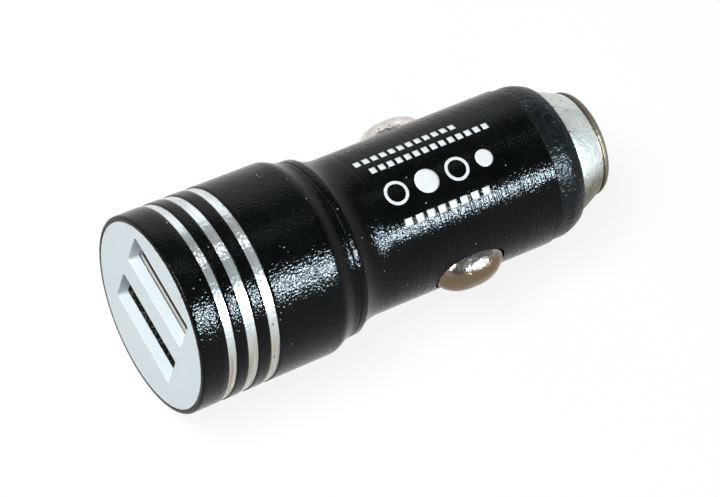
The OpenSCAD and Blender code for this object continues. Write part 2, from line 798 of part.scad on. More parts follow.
// A domed cup with a straight skirt, as rings of one plan that shrink towards the top.
module dome_form(len, wide, tall, skirt) {
    shares = concat([for (j = [0:dome_rings - 1]) cos(90 * pow(j / dome_rings, 0.8))]);
    levels = concat([[1, -skirt]], [for (q = shares) [q, tall * dome(q)]]);
    last = len(levels) - 1;
    n = dome_sides;
    points = concat(
        [for (l = levels) for (i = [0:n - 1]) let (p = boat_point(len * l[0], wide * l[0], 360 * i / n))
            [p[0], p[1], l[1]]],
        [[0, 0, tall]]);
    polyhedron(points = points, faces = concat(
        [[for (i = [0:n - 1]) i]],
        [for (j = [0:last - 1]) for (i = [0:n - 1]) let (k = (i + 1) % n)
            [j * n + i, (j + 1) * n + i, (j + 1) * n + k, j * n + k]],
        [for (i = [0:n - 1]) [last * n + i, (last + 1) * n, last * n + (i + 1) % n]]));
}

module side_contact() {
    color("#cfcac0")
        translate([ear_x, 0, 0])
            rotate([-90, 0, 0])
                difference() {
                    union() {
                        translate([0, 0, ear_foot])
                            dome_form(ear_len, ear_w, ear_dome, ear_foot - tab_z);
                        translate([-ear_len / 2 - ear_tab, -ear_tab_w / 2, tab_z])
                            cube([ear_len + 2 * ear_tab, ear_tab_w, ear_sheet]);
                    }
                    translate([0, 0, ear_foot])
                        dome_form(ear_len - 2 * ear_sheet, ear_w - 2 * ear_sheet, ear_dome - ear_sheet,
                            ear_foot - tab_z + 1);
                }
}

module side_contact_left() {
    on_side(1)
        side_contact();
}

module side_contact_right() {
    on_side(-1)
        side_contact();
}

module side_spring() {
    color("#aeb2b8")
        translate([ear_x, side_spring_y + fit_gap / 2, 0])
            rotate([-90, 0, 0])
                coil(side_spring_d, side_spring_wire, side_spring_len, side_spring_turns, 6, 16);
}

module side_spring_left() {
    on_side(1)
        side_spring();
}

module side_spring_right() {
    on_side(-1)
        side_spring();
}

// Insulating plug at the end of the barrel. It holds the board's end and the terminal disc.
module carrier() {
    color("#e6e1d3")
        difference() {
            union() {
                rod(carrier_x, sleeve_x - fit_gap, barrel_bore_r - fit_gap);
                rod(sleeve_x - fit_gap - 0.1, boss_end, boss_r);
            }
            block([carrier_x - 1, -board_w_tail / 2 - slide_gap, board_z - slide_gap],
                [board_end + slide_gap, board_w_tail / 2 + slide_gap, board_top + slide_gap]);
            block([carrier_x - 1, -terminal_tab_w / 2 - slide_gap, board_top - slide_gap],
                [boss_end + 1, terminal_tab_w / 2 + slide_gap, board_top + terminal_t + 2 * slide_gap]);
        }
}

// Disc under the centre spring, with a tab that is soldered to the board.
module centre_terminal() {
    color("#c9a54c")
        union() {
            rod(boss_end + solder_gap, terminal_end, tip_spring_d / 2 + terminal_margin);
            block([board_end - terminal_tab_len, -terminal_tab_w / 2, board_top + solder_gap],
                [terminal_end - terminal_t / 2, terminal_tab_w / 2, board_top + terminal_t]);
        }
}

module centre_spring() {
    color("#aeb2b8")
        translate([terminal_end + fit_gap, 0, 0])
            rotate([0, 90, 0])
                coil(tip_spring_d, tip_spring_wire, tip_spring_len, tip_spring_turns, 8, 28);
}

// Sprung cap at the tip.
module centre_contact() {
    round_x = tip_end - tip_round;
    line_x = round_x - tip_line_w;
    cone_x = collar_end + 0.2;
    inner_r = tip_r - tip_wall;
    color("#a9a59b")
        turned()
            polygon(concat(
                [[flange_r, flange_x], [flange_r, flange_x + tip_flange_t], [tip_r, flange_x + tip_flange_t],
                    [tip_r, cone_x]],
                [for (i = [1:6]) [tip_r - tip_taper * pow(i / 6, 1.25), cone_x + (line_x - cone_x) * i / 6]],
                [[tip_end_r - tip_line_depth, line_x + 0.05], [tip_end_r - tip_line_depth, round_x - 0.05]],
                [for (i = [0:6]) let (a = 90 * i / 6) [tip_end_r - tip_round + tip_round * cos(a),
                    round_x + tip_round * sin(a)]],
                [[0, tip_end], [0, tip_inner_end], [tip_end_r - tip_wall - tip_inner_round, tip_inner_end],
                    [tip_end_r - tip_wall, tip_inner_end - tip_inner_round], [inner_r, cone_x], [inner_r, flange_x]]));
}

module nose_collar() {
    lip_r = collar_r - lip_drop;
    bend = collar_len - collar_land;
    color("#232629")
        turned()
            polygon(concat(
                [[sleeve_bore_r, sleeve_x], [sleeve_r - fit_gap, sleeve_x], [sleeve_r - fit_gap, barrel_end + fit_gap],
                    [collar_r - 0.12, barrel_end + fit_gap], [collar_r, barrel_end + fit_gap + 0.12],
                    [collar_r, barrel_end + collar_land]],
                [for (i = [1:7]) [collar_r - lip_drop * pow(i / 7, 1.7), barrel_end + collar_land + (bend - 0.1) * i / 7]],
                [[lip_r - 0.15, collar_end], [lip_bore_r, collar_end], [lip_bore_r, collar_end - lip_t],
                    [sleeve_bore_r, collar_end - lip_t]]));
}

shell();
face_plate();
usb_shell_upper();
usb_shell_lower();
usb_block_upper();
usb_block_lower();
usb_contacts_upper();
usb_contacts_lower();
main_board();
choke_core();
choke_winding();
input_capacitor();
output_capacitor();
converter_chip();
port_control_chip();
rectifier_diode();
input_fuse();
chip_capacitors();
chip_resistors();
ground_clip_left();
ground_clip_right();
side_contact_left();
side_contact_right();
side_spring_left();
side_spring_right();
carrier();
centre_terminal();
centre_spring();
centre_contact();
nose_collar();
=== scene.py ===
"""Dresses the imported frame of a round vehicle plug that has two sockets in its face.

The plug's axis is X, from the face to the tip. Lengths in the classes are in millimetres, apart
from those of the studio, which are in metres. The meshes are written in metres, in the frame's
own place.
"""
from __future__ import annotations

import logging
import math
from dataclasses import dataclass, field, replace
from enum import Enum, IntEnum
from functools import cache

import bmesh
import bpy
import numpy as np
from mathutils import Matrix, Vector

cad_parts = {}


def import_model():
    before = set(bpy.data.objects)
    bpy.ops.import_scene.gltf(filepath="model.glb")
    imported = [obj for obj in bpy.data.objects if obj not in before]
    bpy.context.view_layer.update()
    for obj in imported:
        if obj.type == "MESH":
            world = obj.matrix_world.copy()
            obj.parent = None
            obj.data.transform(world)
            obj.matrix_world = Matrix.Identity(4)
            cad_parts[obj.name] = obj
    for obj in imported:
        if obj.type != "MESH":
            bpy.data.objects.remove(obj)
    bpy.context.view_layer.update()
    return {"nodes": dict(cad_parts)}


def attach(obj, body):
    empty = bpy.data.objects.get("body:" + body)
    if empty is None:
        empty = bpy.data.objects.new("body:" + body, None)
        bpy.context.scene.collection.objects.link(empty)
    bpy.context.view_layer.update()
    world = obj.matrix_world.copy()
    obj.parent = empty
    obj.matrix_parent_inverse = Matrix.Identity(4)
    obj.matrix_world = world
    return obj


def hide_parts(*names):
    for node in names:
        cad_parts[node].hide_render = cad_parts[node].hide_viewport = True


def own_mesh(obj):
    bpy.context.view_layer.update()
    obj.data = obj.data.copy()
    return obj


LOG = logging.getLogger("plug")
Rgb = tuple[float, float, float]
Way = tuple[float, float, float]
Span = tuple[float, float]
Array = np.ndarray
Piece = bpy.types.Object
Tree = bpy.types.NodeTree
Socket = bpy.types.NodeSocket

# Metres in a millimetre, and the slack in millimetres when two lengths are compared
MM = 0.001
TOUCH = 1e-6
# Angles in the full turn of a turned piece
TURN = 256
# Powers of the cosine and of the sine in the oval plan of a window and of its contact
PLAN_LONG = 0.8
PLAN_WIDE = 0.9


class Body(Enum):
    """The rigid bodies of the frame that pieces ride on."""

    HOUSING = "housing"
    TIP = "centre_contact"
    LEFT = "side_contact_left"
    RIGHT = "side_contact_right"


class Side(Enum):
    """The two sides of the barrel, as the sign of Y."""

    LEFT = 1
    RIGHT = -1


class ShellSkin(IntEnum):
    """Material indexes of the shell."""

    HEAD = 0
    BAND = 1
    BARREL = 2


# Numpy outlines and grids

def ease(t: Array) -> Array:
    """Smooth step: three t squared less two t cubed."""
    return t * t * (3 - 2 * t)


def arc(cx: float, cr: float, radius: float, start: float, end: float, count: int) -> Array:
    """Points on a circle in the plane of station and radius.

    Args:
        cx: Station of the centre.
        cr: Distance of the centre from the axis.
        radius: Radius of the arc.
        start: First angle in degrees, from the radius direction towards the station direction.
        end: Last angle in degrees.
        count: Number of points.

    Returns:
        An array of (station, radius) rows: centre plus radius times (sine, cosine) of the angle.
    """
    a = np.radians(np.linspace(start, end, count))
    return np.stack([cx + radius * np.sin(a), cr + radius * np.cos(a)], axis=1)


def full_turn(count: int) -> Array:
    """Even angles round a full turn, as one row."""
    return np.linspace(0, 2 * np.pi, count, endpoint=False)[None, :]


def grid_points(*parts: Array) -> Array:
    """A grid of points from its three coordinates, each spread over the whole grid."""
    return np.stack(np.broadcast_arrays(*parts), axis=-1)


def grid_quads(rows: int, cols: int, close_rows: bool = False, close_cols: bool = False) -> Array:
    """Quads of a grid of points stored row by row.

    Args:
        rows: Number of rows.
        cols: Number of columns.
        close_rows: True if the last row meets the first.
        close_cols: True if the last column meets the first.

    Returns:
        Indexes, four to a row: point (i, j), (i + 1, j), (i + 1, j + 1) and (i, j + 1).
    """
    i = np.arange(rows if close_rows else rows - 1)[:, None]
    j = np.arange(cols if close_cols else cols - 1)[None, :]
    i2, j2 = (i + 1) % rows, (j + 1) % cols
    quads = np.stack([i * cols + j, i2 * cols + j, i2 * cols + j2, i * cols + j2], axis=-1)
    return quads.reshape(-1, 4)


@dataclass
class MeshDraft:
    """Collects blocks of points and quads, and turns them into one object."""

    points: list[Array] = field(default_factory=list)
    quads: list[Array] = field(default_factory=list)
    finish_ids: list[Array] = field(default_factory=list)
    count: int = 0

    def add(self, points: Array, quads: Array, finish: Array | int = 0) -> None:
        """Adds a block.

        Args:
            points: Points in millimetres, any shape that ends in 3.
            quads: Four indexes a row into this block's points.
            finish: Material index of the block, or one for each quad.
        """
        flat = points.reshape(-1, 3)
        self.points.append(flat)
        self.quads.append(quads + self.count)
        self.finish_ids.append(np.broadcast_to(np.asarray(finish), (len(quads),)).copy())
        self.count += len(flat)

    def build(self, name: str, sharp: float = 32.0, weld: float = 1e-7, closed: bool = True) -> Piece:
        """Makes the object, welds its seams and turns its faces outwards.

        Args:
            name: Name of the object.
            sharp: Edges that bend by more than this many degrees stay sharp.
            weld: Points nearer than this, in metres, become one.
            closed: True if the mesh bounds a volume, whose sign then says which way faces point.

        Returns:
            The object, at the origin, with its place in its mesh.
        """
        co = np.concatenate(self.points) * MM
        faces = np.concatenate(self.quads)
        ids = np.concatenate(self.finish_ids)
        if closed:
            a, b, c, d = (co[faces[:, k]] for k in range(4))
            volume = (np.cross(b - a, c - a) * a).sum() + (np.cross(c - a, d - a) * a).sum()
            if volume < 0:
                faces = faces[:, ::-1]
        mesh = bpy.data.meshes.new(name)
        mesh.vertices.add(len(co))
        mesh.vertices.foreach_set("co", co.astype(np.float32).ravel())
        mesh.loops.add(4 * len(faces))
        mesh.loops.foreach_set("vertex_index", faces.astype(np.int32).ravel())
        mesh.polygons.add(len(faces))
        mesh.polygons.foreach_set("loop_start", np.arange(0, 4 * len(faces), 4, dtype=np.int32))
        mesh.polygons.foreach_set("material_index", ids.astype(np.int32))
        mesh.update(calc_edges=True)
        work = bmesh.new()
        work.from_mesh(mesh)
        bmesh.ops.remove_doubles(work, verts=work.verts, dist=weld)
        bmesh.ops.dissolve_degenerate(work, dist=weld * 0.5, edges=work.edges)
        work.to_mesh(mesh)
        work.free()
        mesh.validate()
        return show(name, mesh, sharp)


def show(name: str, mesh: bpy.types.Mesh, sharp: float) -> Piece:
    """Puts a mesh into the scene with smooth faces and sharp edges past an angle in degrees."""
    mesh.shade_smooth()
    mesh.set_sharp_from_angle(angle=math.radians(sharp))
    obj = bpy.data.objects.new(name, mesh)
    bpy.context.scene.collection.objects.link(obj)
    return obj


def turned_piece(name: str, profile: Array, kinds: Array | int = 0) -> Piece:
    """A closed profile turned round X: the point at angle t is (x, r cos t, r sin t).

    Args:
        name: Name of the piece.
        profile: Rows of (station, radius).
        kinds: Material index of the stretch that starts at each row, or one for all.

    Returns:
        The piece.
    """
    t = full_turn(TURN)
    x, r = profile[:, :1], profile[:, 1:]
    each = np.repeat(np.broadcast_to(np.asarray(kinds), (len(profile),)), TURN)
    draft = MeshDraft()
    draft.add(grid_points(x, r * np.cos(t), r * np.sin(t)), grid_quads(len(x), TURN, True, True), each)
    return draft.build(name)


# Shader parts that several materials share

def feed(tree: Tree, socket: Socket, value: Socket | Rgb | float) -> None:
    """Links a value to an input, or writes it there when it is a plain number or colour."""
    if isinstance(value, Socket):
        tree.links.new(value, socket)
    else:
        socket.default_value = (*value, 1.0) if isinstance(value, tuple) else value


def maths(tree: Tree, operation: str, a: Socket, b: Socket | float, clamp: bool = False) -> Socket:
    """The result of a math node on two values, kept between 0 and 1 if clamp is True."""
    node = tree.nodes.new("ShaderNodeMath")
    node.operation = operation
    node.use_clamp = clamp
    feed(tree, node.inputs[0], a)
    feed(tree, node.inputs[1], b)
    return node.outputs[0]


def stretch(tree: Tree, value: Socket, old: Span, new: Span = (0.0, 1.0)) -> Socket:
    """Maps the old span of a value onto the new one, and keeps it in there."""
    node = tree.nodes.new("ShaderNodeMapRange")
    for label, number in zip(("From Min", "From Max", "To Min", "To Max"), (*old, *new)):
        node.inputs[label].default_value = number
    feed(tree, node.inputs["Value"], value)
    return node.outputs["Result"]


def colour_mix(tree: Tree, factor: Socket, a: Rgb | Socket, b: Rgb | Socket) -> Socket:
    """Mixes two colours, each plain or from a socket, by a factor from a socket."""
    node = tree.nodes.new("ShaderNodeMix")
    node.data_type = "RGBA"
    feed(tree, node.inputs["Factor"], factor)
    for label, colour in (("A", a), ("B", b)):
        feed(tree, next(s for s in node.inputs if s.name == label and s.type == "RGBA"), colour)
    return next(s for s in node.outputs if s.type == "RGBA")


def new_material(name: str) -> tuple[bpy.types.Material, Tree, bpy.types.Node]:
    """A new material, its node tree and its surface node."""
    mat = bpy.data.materials.new(name)
    mat.use_nodes = True
    return mat, mat.node_tree, mat.node_tree.nodes["Principled BSDF"]


class Effects:
    """Shader node groups, each built once and used by every finish that needs it."""

    @staticmethod
    def _start(name: str, inputs: dict[str, float | None]) -> tuple[Tree, bpy.types.Node, Socket]:
        """A new group's tree, its inputs' node and its result's socket; an input of None is a vector."""
        tree = bpy.data.node_groups.new(name, "ShaderNodeTree")
        for label, value in inputs.items():
            kind = "NodeSocketVector" if value is None else "NodeSocketFloat"
            socket = tree.interface.new_socket(name=label, in_out="INPUT", socket_type=kind)
            if value is not None:
                socket.default_value = value
        tree.interface.new_socket(name="Value", in_out="OUTPUT", socket_type="NodeSocketFloat")
        into, out = tree.nodes.new("NodeGroupInput"), tree.nodes.new("NodeGroupOutput")
        return tree, into, out.inputs["Value"]

    @staticmethod
    @cache
    def grain() -> Tree:
        """Fine even grain: noise at a scale, from 0 to 1."""
        tree, into, result = Effects._start("fine_grain", {"Vector": None, "Scale": 4000.0, "Detail": 3.0})
        noise = tree.nodes.new("ShaderNodeTexNoise")
        noise.inputs["Roughness"].default_value = 0.6
        for label in ("Vector", "Scale", "Detail"):
            feed(tree, noise.inputs[label], into.outputs[label])
        feed(tree, result, noise.outputs["Fac"])
        return tree

    @staticmethod
    @cache
    def lathe_marks() -> Tree:
        """Rings that a turning tool leaves: noise along X that changes slowly round the axis."""
        tree, into, result = Effects._start("lathe_marks", {"Vector": None, "Along": 3000.0, "Round": 1.5})
        split, join = tree.nodes.new("ShaderNodeSeparateXYZ"), tree.nodes.new("ShaderNodeCombineXYZ")
        noise = tree.nodes.new("ShaderNodeTexNoise")
        noise.inputs["Scale"].default_value = 1.0
        noise.inputs["Detail"].default_value = 2.0
        feed(tree, split.inputs[0], into.outputs["Vector"])
        angle = maths(tree, "ARCTAN2", split.outputs["Z"], split.outputs["Y"])
        feed(tree, join.inputs["X"], maths(tree, "MULTIPLY", split.outputs["X"], into.outputs["Along"]))
        feed(tree, join.inputs["Y"], maths(tree, "MULTIPLY", angle, into.outputs["Round"]))
        feed(tree, noise.inputs["Vector"], join.outputs[0])
        feed(tree, result, noise.outputs["Fac"])
        return tree

    @staticmethod
    @cache
    def specks() -> Tree:
        """Small scattered dust specks: the middles of a share of the cells of a cell pattern."""
        inputs = {"Vector": None, "Scale": 1500.0, "Share": 0.1, "Size": 0.2}
        tree, into, result = Effects._start("dust_specks", inputs)
        cells, split = tree.nodes.new("ShaderNodeTexVoronoi"), tree.nodes.new("ShaderNodeSeparateColor")
        for label in ("Vector", "Scale"):
            feed(tree, cells.inputs[label], into.outputs[label])
        feed(tree, split.inputs[0], cells.outputs["Color"])
        near = maths(tree, "LESS_THAN", cells.outputs["Distance"], into.outputs["Size"])
        chosen = maths(tree, "LESS_THAN", split.outputs[0], into.outputs["Share"])
        feed(tree, result, maths(tree, "MULTIPLY", near, chosen))
        return tree


@dataclass(frozen=True)
class Finish:
    """A material whose colour drifts between two tones, with grain, lathe rings and specks, and, in some
    finishes, painted light: the second tone brought in on one side of the plug.

    Scales are in patches per metre and heights in millimetres.
    """

    name: str
    base: Rgb
    drift: Rgb
    rough: Span
    metallic: float = 0.0
    specular: float = 0.5
    drift_scale: float = 250.0
    drift_detail: float = 4.0
    drift_edge: Span = (0.35, 0.65)
    grain_scale: float = 4000.0
    grain_mm: float = 0.004
    grain_detail: float = 2.0
    ring_scale: float = 0.0
    ring_mm: float = 0.0
    ring_tone: float = 0.0
    ring_edge: Span = (0.62, 0.38)
    # Painted light: how fast the second tone comes in along low_way; 0 for none
    painted_light_tint: float = 0.0
    low_start: float = 0.0
    low_span: float = 12.0
    low_way: Way = (0.0, -0.8, -0.6)
    low_patches: float = 0.3
    speck_scale: float = 1200.0
    speck_share: float = 0.0
    speck_size: float = 0.16
    speck_tone: Rgb = (0.5, 0.5, 0.5)

    def make(self) -> bpy.types.Material:
        """Builds the material, with every pattern on Object coordinates."""
        mat, tree, skin = new_material(self.name)
        skin.inputs["Metallic"].default_value = self.metallic
        skin.inputs["Specular IOR Level"].default_value = self.specular
        place = tree.nodes.new("ShaderNodeTexCoord").outputs["Object"]
        drift = self._group(tree, Effects.grain(), place, Scale=self.drift_scale, Detail=self.drift_detail)
        patch = stretch(tree, drift, self.drift_edge)
        # Painted light: the second tone comes in on one side of the plug by place, not by light
        if self.painted_light_tint:
            patch = self._paint_side_light(tree, place, patch)
        tone = colour_mix(tree, patch, self.base, self.drift)
        fine = self._group(tree, Effects.grain(), place, Scale=self.grain_scale, Detail=self.grain_detail)
        height = maths(tree, "MULTIPLY", fine, self.grain_mm)
        if self.ring_scale:
            rings = self._group(tree, Effects.lathe_marks(), place, Along=self.ring_scale)
            height = maths(tree, "ADD", height, maths(tree, "MULTIPLY", rings, self.ring_mm))
            if self.ring_tone:
                dark = tuple(c * (1 - self.ring_tone) for c in self.base)
                tone = colour_mix(tree, stretch(tree, rings, self.ring_edge), tone, dark)
        if self.speck_share:
            mask = self._group(tree, Effects.specks(), place, Scale=self.speck_scale,
                               Share=self.speck_share, Size=self.speck_size)
            tone = colour_mix(tree, mask, tone, self.speck_tone)
        bump = tree.nodes.new("ShaderNodeBump")
        bump.inputs["Distance"].default_value = MM
        feed(tree, bump.inputs["Height"], height)
        feed(tree, skin.inputs["Base Color"], tone)
        feed(tree, skin.inputs["Roughness"], stretch(tree, drift, (0.0, 1.0), self.rough))
        feed(tree, skin.inputs["Normal"], bump.outputs["Normal"])
        return mat

    @staticmethod
    def _group(tree: Tree, group: Tree, place: Socket, **values: float) -> Socket:
        """Places a shared group with its own values and returns its output."""
        node = tree.nodes.new("ShaderNodeGroup")
        node.node_tree = group
        feed(tree, node.inputs["Vector"], place)
        for label, value in values.items():
            feed(tree, node.inputs[label], value)
        return node.outputs[0]

    def _paint_side_light(self, tree: Tree, place: Socket, patch: Socket) -> Socket:
        """Paints light by place: brings in the second tone on one side of the plug, as painted reflection
        on the bands, the side contacts, the tip and its edge, and as painted shade deep in the upper socket.

        The distance along low_way as a share of low_span, less the start, times the tint, is
        added to the given share of the patches.
        """
        reach = tree.nodes.new("ShaderNodeVectorMath")
        reach.operation = "DOT_PRODUCT"
        reach.inputs[1].default_value = tuple(k * self.painted_light_tint / (self.low_span * MM) for k in self.low_way)
        feed(tree, reach.inputs[0], place)
        ahead = maths(tree, "SUBTRACT", reach.outputs["Value"], self.low_start * self.painted_light_tint, clamp=True)
        return maths(tree, "ADD", ahead, maths(tree, "MULTIPLY", patch, self.low_patches), clamp=True)


COAT = Finish("gloss_black_coat", (0.0015, 0.0026, 0.0022), (0.0036, 0.0051, 0.0045), (0.09, 0.16),
              specular=0.105, grain_scale=3900.0, grain_mm=0.056, grain_detail=0.9, ring_scale=1100.0,
              ring_mm=0.006, speck_scale=2600.0, speck_share=0.014, speck_size=0.22,
              speck_tone=(0.42, 0.45, 0.47))
BARREL_COAT = replace(COAT, name="gloss_black_turned_coat", rough=(0.08, 0.14), grain_mm=0.032,
                      ring_scale=3700.0, ring_mm=0.09, speck_share=0.012)
# Painted reflection: on the bands' lower side the brown second tone comes in by place and stands for a warm
# reflection
BARE_BAND = Finish("turned_bright_band", (0.82, 0.88, 0.89), (0.42, 0.35, 0.24), (0.14, 0.26), metallic=0.7,
                   drift_scale=420.0, painted_light_tint=3.2, low_start=0.24, grain_scale=2300.0, grain_mm=0.045,
                   grain_detail=1.0, ring_scale=5200.0, ring_mm=0.012, ring_tone=0.25,
                   speck_scale=1500.0, speck_share=0.1, speck_size=0.25, speck_tone=(0.2, 0.2, 0.19))
FACE = Finish("pale_moulded_face", (0.77, 0.855, 0.89), (0.8, 0.875, 0.9), (0.3, 0.4), drift_scale=120.0,
              grain_scale=3000.0, grain_mm=0.003, speck_scale=260.0, speck_share=0.05, speck_size=0.05,
              speck_tone=(0.45, 0.47, 0.5))
# Painted shade: from 1.81 mm behind the face the sheet turns to its dark second tone by place, as if deep in
# shade
SOCKET = Finish("bright_plated_sheet", (0.95, 0.93, 0.93), (0.03, 0.024, 0.02), (0.44, 0.56), metallic=0.5,
                drift_edge=(0.6, 0.9), painted_light_tint=110.0, low_start=0.151, low_way=(1.0, 0.0, 0.0),
                grain_scale=2600.0, grain_mm=0.002)
# Painted shade: the lower socket's sheet is the same plating as the upper one, made dark with pale flecks to
# stand for the shade inside that port
SHADED_SOCKET = Finish("dull_plated_sheet", (0.06, 0.06, 0.063), (0.5, 0.5, 0.51), (0.3, 0.42), metallic=1.0,
                     drift_scale=2600.0, drift_edge=(0.5, 0.62), grain_scale=2600.0, grain_mm=0.06)
INSULATOR = Finish("black_moulding", (0.012, 0.012, 0.013), (0.028, 0.028, 0.03), (0.35, 0.5),
                   grain_scale=2600.0, grain_mm=0.03, speck_scale=3000.0, speck_share=0.4, speck_size=0.3,
                   speck_tone=(0.3, 0.3, 0.31))
GOLD = Finish("gold_flash", (0.86, 0.66, 0.3), (0.78, 0.6, 0.3), (0.2, 0.3), metallic=1.0, grain_mm=0.001)
# Painted reflection: on the contacts' lower side the brown second tone comes in by place and stands for a
# warm reflection; it also shows in random patches
EAR = Finish("polished_contact", (0.7, 0.67, 0.63), (0.17, 0.125, 0.078), (0.14, 0.26), metallic=1.0,
             drift_scale=520.0, drift_edge=(0.42, 0.6), painted_light_tint=5.0, low_start=0.42, grain_scale=1300.0,
             grain_mm=0.09, speck_scale=1400.0, speck_share=0.12, speck_size=0.2,
             speck_tone=(0.14, 0.12, 0.09))
# Painted reflection: on the tip's lower side the dark brown second tone comes in by place and stands for a
# warm reflection
TIP = Finish("matt_tip_metal", (0.66, 0.69, 0.66), (0.12, 0.1, 0.065), (0.34, 0.48), metallic=0.97,
             drift_scale=520.0, painted_light_tint=3.4, low_start=0.1, grain_scale=1900.0, grain_mm=0.1,
             grain_detail=1.5, ring_scale=1500.0, ring_mm=0.004, speck_scale=1500.0, speck_share=0.14,
             speck_size=0.22, speck_tone=(0.2, 0.18, 0.14))
# Painted shade: a dark copy of the tip metal for its step and rounded edge, darker still on the lower side
TIP_EDGE = Finish("worn_tip_edge", (0.17, 0.15, 0.105), (0.06, 0.05, 0.032), (0.42, 0.58), metallic=1.0,
                  drift_scale=700.0, painted_light_tint=1.2, grain_scale=1900.0, grain_mm=0.09, grain_detail=1.5)
COLLAR = Finish("coarse_black_collar", (0.0032, 0.0058, 0.0068), (0.011, 0.0165, 0.019), (0.22, 0.36),
                specular=0.12, drift_scale=1100.0, grain_scale=2100.0, grain_mm=0.14, grain_detail=1.0,
                speck_scale=2300.0, speck_share=0.1, speck_size=0.22, speck_tone=(0.16, 0.18, 0.195))
INK = Finish("white_ink", (0.86, 0.9, 0.9), (0.78, 0.83, 0.84), (0.4, 0.5), drift_scale=900.0, grain_mm=0.002)
SOLDER_MASK = Finish("green_board", (0.012, 0.11, 0.045), (0.02, 0.17, 0.07), (0.25, 0.4), drift_scale=900.0,
                     drift_edge=(0.48, 0.52), grain_mm=0.004)
FERRITE = Finish("ferrite_core", (0.035, 0.035, 0.04), (0.06, 0.06, 0.065), (0.55, 0.7), grain_mm=0.01)
COPPER = Finish("enamelled_wire", (0.55, 0.17, 0.06), (0.65, 0.24, 0.09), (0.25, 0.35), metallic=1.0,
                ring_scale=1600.0, ring_mm=0.02)
CAN = Finish("sleeved_can", (0.02, 0.05, 0.09), (0.03, 0.07, 0.12), (0.3, 0.4), grain_mm=0.003)
CHIP = Finish("moulded_chip", (0.02, 0.02, 0.022), (0.03, 0.03, 0.033), (0.5, 0.62), grain_mm=0.006)
CERAMIC = Finish("chip_ceramic", (0.42, 0.32, 0.22), (0.5, 0.4, 0.29), (0.45, 0.6), grain_mm=0.004)
TINNED = Finish("tinned_sheet", (0.7, 0.7, 0.7), (0.58, 0.58, 0.58), (0.3, 0.42), metallic=1.0,
                grain_mm=0.003)
SPRING = Finish("drawn_wire", (0.6, 0.6, 0.61), (0.48, 0.48, 0.5), (0.22, 0.34), metallic=1.0,
                grain_mm=0.001)
CREAM = Finish("cream_moulding", (0.78, 0.72, 0.6), (0.72, 0.66, 0.54), (0.4, 0.5), grain_mm=0.003)
BRASS = Finish("stamped_brass", (0.74, 0.52, 0.2), (0.62, 0.44, 0.18), (0.24, 0.36), metallic=1.0,
               grain_mm=0.002)


class Paintbox:
    """Keeps one material for each finish."""

    def __init__(self) -> None:
        """Starts with no materials."""
        self._made: dict[str, bpy.types.Material] = {}

    def get(self, finish: Finish) -> bpy.types.Material:
        """The finish's material, made on first use."""
        if finish.name not in self._made:
            self._made[finish.name] = finish.make()
        return self._made[finish.name]

    def dress(self, obj: Piece, *finishes: Finish) -> None:
        """Gives an object these finishes, in the order of its material indexes."""
        for finish in finishes:
            obj.data.materials.append(self.get(finish))

    def repaint(self, node: Piece, finish: Finish) -> None:
        """Assigns a finish to every material slot of a frame node."""
        if not node.material_slots:
            node.data.materials.append(self.get(finish))
        for place in node.material_slots:
            place.material = self.get(finish)


def seat(obj: Piece, body: Body, slot: str, *nodes: str) -> None:
    """Makes a finished piece ride on a body and stand for frame nodes.

    Args:
        obj: The piece, in place.
        body: Body that it moves with.
        slot: The record's material slot that its finish stands for. It is not used.
        nodes: Frame nodes that it replaces, if any.
    """
    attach(obj, body.value)
    if nodes:
        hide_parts(*nodes)
    LOG.info("%s: %d faces on %s", obj.name, len(obj.data.polygons), body.value)


# Sub-assemblies

